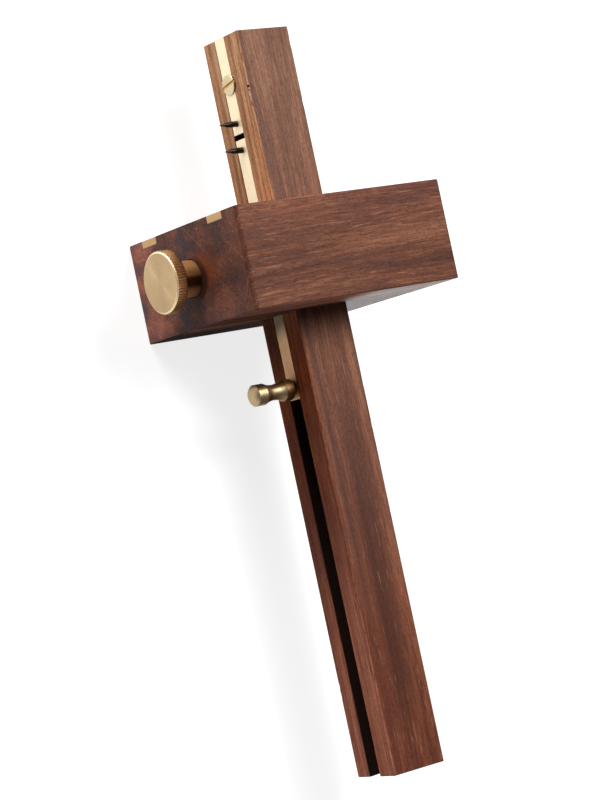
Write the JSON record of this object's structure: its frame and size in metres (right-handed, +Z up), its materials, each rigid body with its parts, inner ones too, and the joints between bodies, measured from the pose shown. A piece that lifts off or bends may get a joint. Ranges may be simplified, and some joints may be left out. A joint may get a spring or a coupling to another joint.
{
  "type": "combination marking gauge",
  "caption": "Hardwood combination marking gauge: a stock slides on a square stem with mortise pins on a brass slide and a single marking pin, locked by a knurled thumbscrew.",
  "frame": {"origin": "centre of the stock's flat back face, on which the gauge lies", "axes": "+Y along the stem towards its pins and square to the fence, +Z up out of the stock's front face, -X towards the thumbscrew"},
  "size_m": [0.0905, 0.2401, 0.064],
  "materials": {
    "stem_wood": "oiled rosewood, grain along the stem",
    "stock_wood": "oiled rosewood, grain across the stock",
    "strip_brass": "flat filed and sanded",
    "slide_brass": "drawn bar, lightly brushed along its length",
    "turned_brass": "lathe turned",
    "pin_steel": "hardened steel, blued nearly black"
  },
  "bodies": {
    "stem": {"stem": "stem_wood", "fixed_plate": "slide_brass", "plate_screw": "turned_brass", "fixed_pin": "pin_steel", "marking_pin": "pin_steel"},
    "slide": {"slide_bar": "slide_brass", "moving_pin": "pin_steel", "slide_knob": "turned_brass"},
    "stock": {"stock": "stock_wood", "wear_strip_front": "strip_brass", "wear_strip_back": "strip_brass", "threaded_insert": "turned_brass"},
    "shoe": {"pressure_shoe": "turned_brass"},
    "thumbscrew": {"thumbscrew": "turned_brass"}
  },
  "joints": [
    {"name": "slide_travel", "type": "slide", "parent": "stem", "child": "slide", "axis": [0, 1, 0], "range_m": [-0.121, 0.0016]},
    {"name": "stock_travel", "type": "slide", "parent": "slide", "child": "stock", "axis": [0, 1, 0], "range_m": [-0.0197, 0.0205]},
    {"name": "shoe_travel", "type": "slide", "parent": "stock", "child": "shoe", "axis": [-1, 0, 0], "range_m": [0, 0.0075]},
    {"name": "screw_turn", "type": "hinge", "parent": "shoe", "child": "thumbscrew", "pos_m": [-0.045, -0.00045, 0.032], "axis": [-1, 0, 0], "range_deg": [0, 2160]}
  ],
  "couplings": [
    {"joint": "screw_turn", "follows": "shoe_travel", "rad_per_m": 5026.5}
  ]
}
